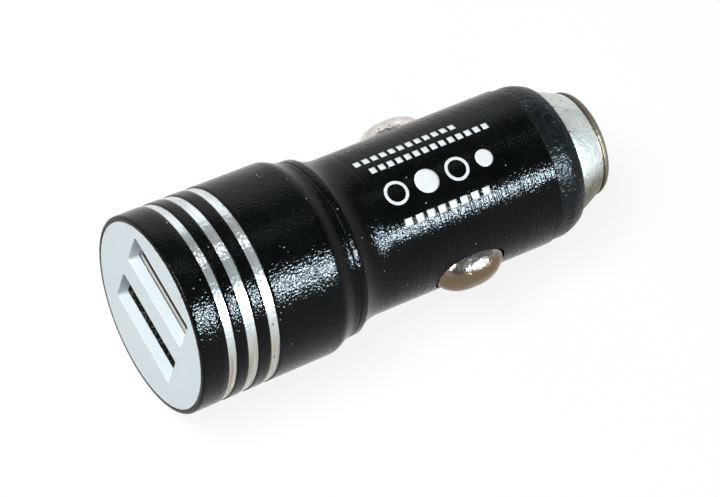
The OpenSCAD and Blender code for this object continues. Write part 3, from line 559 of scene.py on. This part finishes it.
@dataclass
class TurnedShell:
    """The turned housing: head with three bare bands, bead, neck and barrel with two windows.

    The two gaps are the distances that plain rings of the mesh keep from a feature.
    """

    head_r: float = 12.0
    head_len: float = 18.4
    head_draft: float = 0.18
    rim_chamfer: float = 0.35
    plate_seat_r: float = 11.4
    plate_t: float = 1.45
    plate_edge: float = 0.06
    head_bore_r: float = 10.9
    head_bore_past: float = 0.8
    bands: tuple[Span, ...] = ((3.4, 4.45), (5.95, 7.25), (8.9, 10.1))
    band_depth: float = 0.12
    band_lean: float = 0.02
    band_lip: float = 0.03
    band_ease: float = 0.05
    band_inset: float = 0.1
    shoulder_len: float = 2.5
    shoulder_drop: float = 0.85
    groove_w: float = 0.5
    groove_depth: float = 0.16
    groove_slope: float = 0.12
    bead_w: float = 0.9
    bead_drop: float = 0.13
    bead_round: float = 0.15
    taper_len: float = 3.9
    taper_power: float = 2.4
    barrel_r: float = 9.65
    barrel_end: float = 49.6
    edge: float = 0.08
    bore_r: float = 8.85
    sleeve_r: float = 9.1
    sleeve_x: float = 45.9
    window_x: float = 37.5
    window_len: float = 9.3
    window_w: float = 5.94
    near_gap: float = 0.3
    far_gap: float = 0.4
    turn: int = 320

    def head_at(self, x: float) -> float:
        """Radius of the head at a station: it falls evenly by the draft over its length."""
        return self.head_r - self.head_draft * x / self.head_len

    def stations(self) -> Array:
        """Stations across the windows: the middle plus half the length times the sine of even angles.

        They lie closer together towards the windows' ends.
        """
        a = np.linspace(-np.pi / 2, np.pi / 2, 41)
        return self.window_x + self.window_len / 2 * np.sin(a)

    def head_rows(self) -> list[tuple[float, float, int]]:
        """Rows of station, radius and material index from the plate's seat to the shoulder."""
        coat, bare = ShellSkin.HEAD, ShellSkin.BAND
        rows = [(self.plate_edge, self.plate_seat_r, coat), (0.0, self.plate_seat_r + self.plate_edge, coat)]
        rim = arc(self.rim_chamfer, self.head_r - self.rim_chamfer, self.rim_chamfer, -90, 0, 7)
        rows += [(x, r, coat) for x, r in rim]
        for start, end in self.bands:
            before = np.linspace(rows[-1][0] + self.near_gap, start - self.band_ease, 4)
            within = np.linspace(start + self.band_inset, end - self.band_inset, 8)
            rows += [(x, self.head_at(x), coat) for x in before]
            rows += [(start, self.head_at(start) - self.band_lip, coat),
                     (start + self.band_lean, self.head_at(start) - self.band_depth, bare)]
            rows += [(x, self.head_at(x) - self.band_depth, bare) for x in within]
            rows += [(end - self.band_lean, self.head_at(end) - self.band_depth, coat),
                     (end, self.head_at(end) - self.band_lip, coat),
                     (end + self.band_ease, self.head_at(end), coat)]
        last = np.linspace(self.bands[-1][1] + self.far_gap, self.head_len - self.near_gap, 9)
        return rows + [(x, self.head_at(x), coat) for x in last]

    def profile(self) -> tuple[Array, Array]:
        """The closed outline of the wall.

        Returns:
            Rows of (station, radius), forwards along the outside and back along the bore, and
            the material index of the stretch that starts at each row.
        """
        rows = self.head_rows()

        def put(x: float, r: float, skin: ShellSkin = ShellSkin.HEAD) -> None:
            """Adds one point."""
            rows.append((x, r, skin))

        back = self.head_r - self.head_draft
        for t in np.linspace(0, 1, 13):
            put(self.head_len + self.shoulder_len * t, back - self.shoulder_drop * ease(t))
        bead_r = back - self.shoulder_drop
        groove = self.head_len + self.shoulder_len
        bead = groove + self.groove_w
        put(groove + self.edge, bead_r - self.edge)
        put(groove + self.groove_slope, bead_r - self.groove_depth)
        put(bead - self.edge, bead_r - self.groove_depth)
        bead_r -= self.bead_drop
        for x, r in arc(bead + self.bead_round, bead_r - self.bead_round, self.bead_round, -60, 0, 5):
            put(x, r)
        taper = bead + self.bead_w
        for t in np.linspace(0, 1, 19):
            fall = 1 - (1 - t) ** self.taper_power
            put(taper + self.taper_len * t, bead_r + (self.barrel_r - bead_r) * fall)
        across = self.stations()
        before = np.linspace(taper + self.taper_len + self.far_gap, across[0] - self.near_gap, 8)
        after = np.linspace(across[-1] + self.far_gap, self.barrel_end - self.far_gap, 8)
        for x in np.concatenate([before, across, after]):
            put(x, self.barrel_r, ShellSkin.BARREL)
        put(self.barrel_end - self.edge, self.barrel_r)
        put(self.barrel_end, self.barrel_r - self.edge)
        put(self.barrel_end, self.sleeve_r)
        put(self.sleeve_x, self.sleeve_r)
        put(self.sleeve_x, self.bore_r)
        for x in across[::-1]:
            put(x, self.bore_r)
        step = self.head_bore_r - self.bore_r
        put(self.head_len + self.head_bore_past + step, self.bore_r)
        put(self.head_len + self.head_bore_past, self.head_bore_r)
        put(self.plate_t, self.head_bore_r)
        put(self.plate_t, self.plate_seat_r)
        table = np.array(rows)
        return table[:, :2], table[:, 2].astype(int)

    def half_width(self, x: Array) -> Array:
        """Half the window's width at each station.

        With c the cosine and s the sine of one angle, the plan's length follows c to the power
        PLAN_LONG and its width s to the power PLAN_WIDE.
        """
        p = np.clip(np.abs(x - self.window_x) / (self.window_len / 2), 0, 1)
        c = p ** (1 / PLAN_LONG)
        return self.window_w / 2 * np.sqrt(np.clip(1 - c * c, 0, 1)) ** PLAN_WIDE

    def build(self, paint: Paintbox) -> None:
        """Makes the shell as an upper and a lower half between the windows, with the windows' walls."""
        outline, kinds = self.profile()
        x, r = outline[:, 0], outline[:, 1]
        first, last = self.stations()[[0, -1]]
        inside = (x >= first - TOUCH) & (x <= last + TOUCH) & (r < self.barrel_r + TOUCH)
        reach = np.where(inside, self.half_width(x), 0.0)
        start = np.arcsin(reach / r)
        share = np.linspace(0, 1, self.turn // 2 + 1)[None, :]
        t = start[:, None] + (np.pi - 2 * start[:, None]) * share
        draft = MeshDraft()
        quads = grid_quads(len(x), t.shape[1], True)
        kind = np.repeat(kinds, t.shape[1] - 1)
        for sign in (1, -1):
            points = grid_points(x[:, None], r[:, None] * np.cos(t), sign * r[:, None] * np.sin(t))
            draft.add(points, quads if sign == 1 else quads[:, ::-1], kind)
        edge_x = x[inside & (r > self.barrel_r - TOUCH)]
        depth = np.array([self.barrel_r, self.bore_r])
        q = self.half_width(edge_x)[:, None]
        for side in Side:
            for sign in (1, -1):
                y = side.value * np.sqrt(depth[None, :] ** 2 - q ** 2)
                wall = grid_points(edge_x[:, None], y, sign * q)
                faces = grid_quads(len(edge_x), 2)
                draft.add(wall, faces if side.value * sign > 0 else faces[:, ::-1])
        shell = draft.build("turned_shell", sharp=38.0, weld=2e-6)
        paint.dress(shell, COAT, BARE_BAND, BARREL_COAT)
        seat(shell, Body.HOUSING, "black_shell", "shell")


@dataclass
class SideContacts:
    """The two domed side contacts, each one a sheet dome on a flat flange that is longer than it."""

    ear_x: float = 37.5
    length: float = 9.2
    width: float = 5.8
    foot: float = 8.494
    tall: float = 3.106
    sheet: float = 0.4
    tab: float = 1.4
    tab_w: float = 4.6
    tab_y: float = 8.094
    power: float = 2.4
    ring_power: float = 0.8
    flange_power: float = 0.3
    turn: int = 160
    flange_turn: int = 48
    rings: int = 44

    def cup(self, inset: float, low: float, rings: int) -> Array:
        """One skin of the dome, from its skirt to its top.

        At share q of the plan the height is tall times the root of one less q to the given
        power, and q is the cosine of an angle that grows along the rings.

        Args:
            inset: Distance that the skin lies inside the outer one.
            low: Distance of the skirt's edge below the dome's foot.
            rings: Number of rings on the dome.

        Returns:
            Points of the grid, in the contact's own place: length, across, height.
        """
        a = full_turn(self.turn)
        c, s = np.cos(a), np.sin(a)
        q = np.cos(np.pi / 2 * np.linspace(0, 1, rings) ** self.ring_power)[:, None]
        q[-1] = 0.0
        level = (self.tall - inset) * np.sqrt(np.clip(1 - q ** self.power, 0, 1))
        q = np.vstack([[[1.0]], q])
        level = np.vstack([[[-low]], level])
        along = (self.length / 2 - inset) * np.sign(c) * np.abs(c) ** PLAN_LONG
        across = (self.width / 2 - inset) * np.sign(s) * np.abs(s) ** PLAN_WIDE
        return grid_points(q * along, q * across, level)

    def flange(self) -> tuple[Array, Array]:
        """The flat sheet under the dome: six rings, from the lower face's middle to the upper one's.

        Returns:
            Points and quads. The plan is an oval close to a rectangle with rounded corners.
        """
        a = full_turn(self.flange_turn)
        c, s = np.cos(a), np.sin(a)
        grow = np.array([0.0, 0.94, 1.0, 1.0, 0.94, 0.0])[:, None]
        rise = np.array([0.0, 0.0, 0.15, 0.85, 1.0, 1.0])[:, None] * self.sheet
        plan_x = (self.length / 2 + self.tab) * np.sign(c) * np.abs(c) ** self.flange_power
        plan_y = self.tab_w / 2 * np.sign(s) * np.abs(s) ** self.flange_power
        points = grid_points(grow * plan_x, grow * plan_y, self.tab_y - self.foot + rise)
        return points, grid_quads(len(grow), self.flange_turn, False, True)

    def build(self, paint: Paintbox) -> None:
        """Makes both contacts."""
        low = self.foot - self.tab_y
        outer = self.cup(0.0, low, self.rings)
        inner = self.cup(self.sheet, low, self.rings // 2)
        skin = np.concatenate([outer[::-1], inner])
        for side in Side:
            draft = MeshDraft()
            for points, quads in ((skin, grid_quads(len(skin), self.turn, False, True)), self.flange()):
                along, across, up = (points[..., k] for k in range(3))
                out = side.value * (self.foot + up)
                draft.add(grid_points(self.ear_x + along, out, -side.value * across), quads)
            name = side.name.lower()
            body = Body.LEFT if side is Side.LEFT else Body.RIGHT
            ear = draft.build(f"domed_contact_{name}", sharp=40.0)
            paint.dress(ear, EAR)
            seat(ear, body, "polished_nickel", f"side_contact_{name}")


@dataclass
class Nose:
    """The black collar at the barrel's end and the sprung metal tip that it holds."""

    barrel_end: float = 49.6
    gap: float = 0.05
    collar_r: float = 9.45
    collar_edge: float = 0.12
    land: float = 1.9
    collar_end: float = 53.55
    curve_power: float = 1.7
    lip_drop: float = 0.6
    lip_edge: float = 0.1
    lip_round: float = 0.15
    lip_t: float = 0.8
    sleeve_x: float = 46.0
    sleeve_r: float = 9.05
    sleeve_bore_r: float = 8.55
    lip_bore_r: float = 8.15
    tip_r: float = 8.05
    tip_foot: float = 0.2
    cone_power: float = 1.25
    tip_end_r: float = 6.5
    tip_end: float = 58.9
    tip_end_t: float = 0.8
    tip_round: float = 0.95
    tip_wall: float = 0.6
    step_w: float = 0.3
    step_depth: float = 0.16
    shaded_edge_depth: float = 0.9
    flange_r: float = 8.45
    flange_x: float = 52.1
    flange_t: float = 0.6

    def collar_profile(self) -> Array:
        """Closed outline of the collar: straight land, then a curve that falls by a power to the lip."""
        start = self.barrel_end + self.gap
        bend = self.barrel_end + self.land
        t = np.linspace(0, 1, 15)[1:]
        curve = np.stack([bend + (self.collar_end - bend - self.lip_edge) * t,
                          self.collar_r - self.lip_drop * t ** self.curve_power], axis=1)
        lip, round_r = self.collar_r - self.lip_drop, self.lip_round
        neck = self.collar_end - self.lip_t
        return np.concatenate([
            [[self.sleeve_x, self.sleeve_bore_r], [self.sleeve_x, self.sleeve_r], [start, self.sleeve_r]],
            arc(start + self.collar_edge, self.collar_r - self.collar_edge, self.collar_edge, -90, 0, 5),
            [[x, self.collar_r] for x in (start + 0.6, start + 1.2, bend)],
            curve,
            [[self.collar_end - 0.03, lip - self.lip_edge], [self.collar_end, lip - 2 * self.lip_edge]],
            arc(self.collar_end - round_r, self.lip_bore_r + round_r, round_r, 90, 180, 5),
            [[neck, self.lip_bore_r], [neck, self.sleeve_bore_r]],
        ])

    def tip_profile(self) -> Array:
        """Closed outline of the tip: flange, slightly curved cone, small step, rounded edge and flat end."""
        foot = self.collar_end + self.tip_foot
        flange_end = self.flange_x + self.flange_t
        round_x = self.tip_end - self.tip_round
        t = np.linspace(0, 1, 17)
        cone = np.stack([foot + (round_x - self.step_w - foot) * t,
                         self.tip_r - (self.tip_r - self.tip_end_r) * t ** self.cone_power], axis=1)
        step_r = self.tip_end_r - self.step_depth
        inner_end = self.tip_end - self.tip_end_t
        bore = self.tip_end_r - self.tip_wall
        return np.concatenate([
            [[self.flange_x, self.flange_r], [flange_end, self.flange_r], [flange_end, self.tip_r]],
            cone,
            [[round_x - 0.25, step_r], [round_x - 0.05, step_r]],
            arc(round_x, self.tip_end_r - self.tip_round, self.tip_round, 0, 90, 13),
            [[self.tip_end, r] for r in (4.0, 2.0, 0.0)],
            [[inner_end, 0.0], [inner_end, bore - 0.5], [inner_end - 0.6, bore],
             [foot, self.tip_r - self.tip_wall], [self.flange_x, self.tip_r - self.tip_wall]],
        ])

    def build(self, paint: Paintbox) -> None:
        """Makes the collar and the tip, whose step and rounded edge take a dark finish that is painted shade.
        """
        collar = turned_piece("nose_ring", self.collar_profile())
        paint.dress(collar, COLLAR)
        seat(collar, Body.HOUSING, "black_collar", "nose_collar")
        outline = self.tip_profile()
        x, r = outline[:, 0], outline[:, 1]
        # Painted shade: the step and the rounded edge get the dark tip-edge finish
        edge_in_shade = (x > self.tip_end - self.tip_round - self.step_w) & (r > self.tip_end_r - self.shaded_edge_depth)
        tip = turned_piece("sprung_tip", outline, edge_in_shade.astype(int))
        paint.dress(tip, TIP, TIP_EDGE)
        seat(tip, Body.TIP, "matt_nickel", "centre_contact")


@dataclass(frozen=True)
class DashRow:
    """Equal dashes in a row along the barrel, at one angle in degrees round its axis."""

    start: float
    angle: float
    tall: float
    long: float
    gap: float
    number: int


@dataclass(frozen=True)
class Disc:
    """A disc on the barrel, or a ring when it has a hole; both sizes are radii."""

    x: float
    angle: float
    outer: float
    hole: float = 0.0


@dataclass
class PlainMarks:
    """Plain printed dashes, discs and rings on the barrel, which say nothing."""

    radius: float = 9.65
    lift: float = 0.012
    ink_t: float = 0.02
    turn: int = 64
    rows: tuple[DashRow, ...] = (
        DashRow(27.5, 64.5, 0.85, 0.75, 0.42, 12),
        DashRow(28.6, 75.0, 0.85, 0.75, 0.42, 14),
        DashRow(29.4, 119.5, 1.0, 1.0, 0.5, 8),
    )
    discs: tuple[Disc, ...] = (
        Disc(29.9, 97.5, 1.5, 1.12),
        Disc(34.0, 97.5, 1.5),
        Disc(38.1, 97.5, 1.5, 1.12),
        Disc(41.8, 97.5, 1.1),
    )

    def patch(self, x: Array, angle: Array) -> Array:
        """Points on the barrel at stations and angles in degrees, a hair above its skin."""
        t, r = np.radians(angle), self.radius + self.lift
        return grid_points(x, r * np.cos(t), r * np.sin(t))

    def build(self, paint: Paintbox) -> None:
        """Makes all the marks as one thin sheet of ink.

        A dash is a grid of station and angle. A disc is a grid of angle round its middle and
        distance from it, where the distance across is turned into an angle round the barrel.
        """
        draft = MeshDraft()
        for row in self.rows:
            half = math.degrees(row.tall / 2 / self.radius)
            for k in range(row.number):
                start = row.start + k * (row.long + row.gap)
                x, a = np.meshgrid(np.linspace(start, start + row.long, 6),
                                   np.linspace(row.angle - half, row.angle + half, 5), indexing="ij")
                draft.add(self.patch(x, a), grid_quads(6, 5))
        turn = full_turn(self.turn)
        for disc in self.discs:
            d = np.linspace(disc.hole, disc.outer, 6)[:, None]
            angle = disc.angle + np.degrees(d * np.sin(turn) / self.radius)
            quads = grid_quads(len(d), self.turn, False, True)
            draft.add(self.patch(disc.x + d * np.cos(turn), angle), quads[:, ::-1])
        marks = draft.build("plain_marks", sharp=60.0, closed=False)
        thick = marks.modifiers.new("ink", "SOLIDIFY")
        thick.thickness, thick.offset = self.ink_t * MM, 0.0
        paint.dress(marks, INK)
        seat(marks, Body.HOUSING, "black_shell")


@dataclass
class SoftEdges:
    """Copies of frame nodes whose edges get the small radius of a moulded, pressed or cut piece."""

    segments: int = 2
    flat: float = 1.0
    bend: float = 40.0
    front_slack: float = 0.01

    def make(self, paint: Paintbox, node: str, slot: str, finish: Finish, width: float,
             set_back: float = 0.0) -> None:
        """Replaces one node by its softened copy.

        Args:
            paint: The materials.
            node: Name of the frame node.
            slot: The record's material slot.
            finish: Its finish.
            width: Width of the rounding in millimetres.
            set_back: Distance in millimetres that its front edge lies further back.
        """
        source = bpy.data.objects.get(node)
        if source is None:
            raise ValueError(f"no frame node {node}")
        work = bmesh.new()
        work.from_mesh(source.data)
        bmesh.ops.remove_doubles(work, verts=work.verts, dist=1e-7)
        bmesh.ops.dissolve_limit(work, angle_limit=math.radians(self.flat), verts=work.verts,
                                 edges=work.edges)
        mesh = bpy.data.meshes.new(f"{node}_dressed")
        front = min(vert.co.x for vert in work.verts)
        for vert in work.verts:
            if vert.co.x < front + self.front_slack * MM:
                vert.co.x += set_back * MM
        work.to_mesh(mesh)
        work.free()
        obj = show(f"{node}_dressed", mesh, 30.0)
        bevel = obj.modifiers.new("soft_edges", "BEVEL")
        bevel.width = width * MM
        bevel.segments = self.segments
        bevel.limit_method = "ANGLE"
        bevel.angle_limit = math.radians(self.bend)
        bevel.use_clamp_overlap = True
        bevel.harden_normals = True
        paint.dress(obj, finish)
        seat(obj, Body.HOUSING, slot, node)


@dataclass(frozen=True)
class PressedSpring:
    """A copy of a frame coil that keeps its seat."""

    node: str
    joint: str
    axis: Way
    travel: float

    def build(self, paint: Paintbox) -> None:
        """Makes the coil and seats it."""
        mesh = bpy.data.objects[self.node].data.copy()
        mesh.materials.clear()
        coil = show(f"{self.node}_coil", mesh, 40.0)
        paint.dress(coil, SPRING)
        seat(coil, Body.HOUSING, "spring_steel", self.node)
        flat = np.empty(3 * len(mesh.vertices))
        mesh.vertices.foreach_get("co", flat)
        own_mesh(coil)


@dataclass
class Studio:
    """Camera, floor, soft lamps and a plain surrounding light, in metres."""

    eye: Way = (-0.1598, -0.1639, 0.3961)
    right: Way = (0.849, -0.4885, 0.2005)
    ahead: Way = (0.400, 0.347, -0.849)
    aim: Way = (0.028, 0.0, 0.0)
    lens: float = 202.0
    floor_z: float = -0.012
    floor_r: float = 2.0
    floor_flat: float = 0.8
    floor_rise: float = 0.8
    floor_turn: int = 96
    floor_glow: float = 0.88
    floor_grey: Rgb = (0.36, 0.36, 0.36)
    world: float = 0.14

    def camera(self) -> None:
        """The photograph's viewpoint: a long lens that looks down on the plug from its face's side."""
        data = bpy.data.cameras.new("photo_view")
        data.lens, data.sensor_width = self.lens, 36.0
        data.clip_start, data.clip_end = 0.01, 20.0
        cam = bpy.data.objects.new("photo_view", data)
        back = -Vector(self.ahead).normalized()
        side = (Vector(self.right) - back * Vector(self.right).dot(back)).normalized()
        up = back.cross(side)
        cam.matrix_world = Matrix((side, up, back)).transposed().to_4x4()
        cam.matrix_world.translation = Vector(self.eye)
        bpy.context.scene.collection.objects.link(cam)
        bpy.context.scene.camera = cam

    def floor(self) -> None:
        """A large pale floor: radius by angle, with the height rising by a square past its flat middle."""
        r = np.concatenate([[0.0], np.geomspace(0.05, self.floor_r, 40)])[:, None]
        t = full_turn(self.floor_turn)
        rise = np.where(r > self.floor_flat, (r - self.floor_flat) ** 2 * self.floor_rise, 0.0)
        points = grid_points(r * np.cos(t), r * np.sin(t), self.floor_z + rise) / MM
        draft = MeshDraft()
        draft.add(points, grid_quads(len(r), self.floor_turn, False, True))
        ground = draft.build("pale_floor", sharp=60.0, closed=False)
        ground.data.materials.append(self.floor_finish())

    def floor_finish(self) -> bpy.types.Material:
        """A surface that the camera and reflections see as a white glow, and other rays as grey."""
        mat, tree, skin = new_material("pale_floor")
        skin.inputs["Roughness"].default_value = 0.9
        skin.inputs["Specular IOR Level"].default_value = 0.1
        noise = tree.nodes.new("ShaderNodeTexNoise")
        noise.inputs["Scale"].default_value = 14.0
        feed(tree, noise.inputs["Vector"], tree.nodes.new("ShaderNodeTexCoord").outputs["Object"])
        tone = colour_mix(tree, noise.outputs["Fac"], (0.95, 0.95, 0.95), (0.97, 0.97, 0.97))
        path = tree.nodes.new("ShaderNodeLightPath").outputs
        seen = maths(tree, "MAXIMUM", path["Is Camera Ray"], path["Is Transmission Ray"])
        seen = maths(tree, "MAXIMUM", seen, path["Is Glossy Ray"])
        feed(tree, skin.inputs["Base Color"], colour_mix(tree, seen, self.floor_grey, tone))
        glow, blend = tree.nodes.new("ShaderNodeEmission"), tree.nodes.new("ShaderNodeMixShader")
        glow.inputs["Color"].default_value = (1, 1, 1, 1)
        feed(tree, blend.inputs["Fac"], maths(tree, "MULTIPLY", seen, self.floor_glow))
        for socket, shader in zip(blend.inputs[1:], (skin, glow)):
            feed(tree, socket, shader.outputs[0])
        feed(tree, tree.nodes["Material Output"].inputs["Surface"], blend.outputs[0])
        return mat

    def lamp(self, name: str, towards: Way, away: float, size: Span, share: float, colour: Rgb,
             shine_only: bool = False) -> None:
        """A soft rectangular lamp that points at the plug.

        Args:
            name: Name of the lamp.
            towards: Direction from the plug to the lamp.
            away: Distance in metres.
            size: Width and height in metres; the width lies level.
            share: Light on a face turned to the lamp, where 1 shows a colour as it is written.
            colour: Colour of the light.
            shine_only: True for a lamp that shows in reflections and adds no light to a colour.
        """
        data = bpy.data.lights.new(name, "AREA")
        data.shape, data.size, data.size_y = "RECTANGLE", size[0], size[1]
        data.energy = share * math.pi ** 2 * away ** 2
        data.color = colour
        obj = bpy.data.objects.new(name, data)
        back = Vector(towards).normalized()
        obj.location = Vector(self.aim) + back * away
        obj.rotation_mode = "QUATERNION"
        obj.rotation_quaternion = (-back).to_track_quat("-Z", "Y")
        obj.visible_diffuse = not shine_only
        bpy.context.scene.collection.objects.link(obj)

    def surroundings(self) -> None:
        """Plain world light, a little cool."""
        world = bpy.data.worlds.new("plain_room")
        bpy.context.scene.world = world
        world.use_nodes = True
        room = world.node_tree.nodes["Background"]
        room.inputs["Color"].default_value = (0.93, 0.97, 1.0, 1.0)
        room.inputs["Strength"].default_value = self.world

    def build(self) -> None:
        """Sets up the view, the floor and the light."""
        bpy.context.scene.view_settings.view_transform = "Standard"
        self.camera()
        self.floor()
        self.surroundings()
        self.lamp("streak_box", (0.4, -0.66, 0.635), 0.6, (0.12, 0.09), 3.0, (0.72, 0.88, 1.0), True)
        self.lamp("spot_box", (0.38, 0.24, 0.9), 0.6, (0.06, 0.06), 0.03, (0.95, 0.98, 1.0), True)
        self.lamp("side_box", (0.37, 0.86, 0.33), 0.8, (0.7, 0.5), 0.085, (0.9, 0.98, 1.0))
        self.lamp("face_box", (-0.5, 0.0, 0.866), 0.7, (0.3, 0.3), 1.15, (0.98, 0.99, 1.0))


def dress_inside(paint: Paintbox, nodes: dict[str, Piece]) -> None:
    """Gives the plate, the sockets and the inner pieces soft edges and finishes, and adds the springs."""
    soft = SoftEdges()
    soft.make(paint, "face_plate", "white_face", FACE, 0.09)
    # Painted shade: the lower socket's sheet is painted dark, and the upper one's metal darkens by place deep
    # inside
    for port, metal, rounding, gap in (("upper", SOCKET, 0.03, 0.2), ("lower", SHADED_SOCKET, 0.12, 0.0)):
        soft.make(paint, f"usb_shell_{port}", "socket_metal", metal, rounding, gap)
        soft.make(paint, f"usb_block_{port}", "black_insulator", INSULATOR, 0.08)
        soft.make(paint, f"usb_contacts_{port}", "gold_contacts", GOLD, 0.04)
    for slot, finish, widths in (
        ("circuit_board", SOLDER_MASK, {"main_board": 0.06}),
        ("ferrite", FERRITE, {"choke_core": 0.2}),
        ("capacitor_can", CAN, {"input_capacitor": 0.12, "output_capacitor": 0.25}),
        ("black_chip", CHIP, {"converter_chip": 0.05, "port_control_chip": 0.04, "rectifier_diode": 0.08}),
        ("chip_ceramic", CERAMIC, {"input_fuse": 0.04, "chip_capacitors": 0.04}),
        ("chip_ceramic", CHIP, {"chip_resistors": 0.03}),
        ("tinned_metal", TINNED, {"ground_clip_left": 0.08, "ground_clip_right": 0.08}),
        ("cream_insulator", CREAM, {"carrier": 0.12}),
        ("brass_terminal", BRASS, {"centre_terminal": 0.08}),
    ):
        for node, width in widths.items():
            soft.make(paint, node, slot, finish, width)
    paint.repaint(nodes["choke_winding"], COPPER)
    LOG.info("choke_winding: repainted")
    PressedSpring("centre_spring", "centre_press", (1.0, 0.0, 0.0), 2.2).build(paint)
    PressedSpring("side_spring_left", "side_press_left", (0.0, 1.0, 0.0), 1.8).build(paint)
    PressedSpring("side_spring_right", "side_press_right", (0.0, -1.0, 0.0), 1.8).build(paint)


def main() -> None:
    """Loads the frame and builds each sub-assembly in order."""
    logging.basicConfig(level=logging.INFO, format="%(name)s %(message)s")
    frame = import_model()
    paint = Paintbox()
    Studio().build()
    TurnedShell().build(paint)
    SideContacts().build(paint)
    Nose().build(paint)
    PlainMarks().build(paint)
    dress_inside(paint, frame["nodes"])


if __name__ == "__main__":
    main()
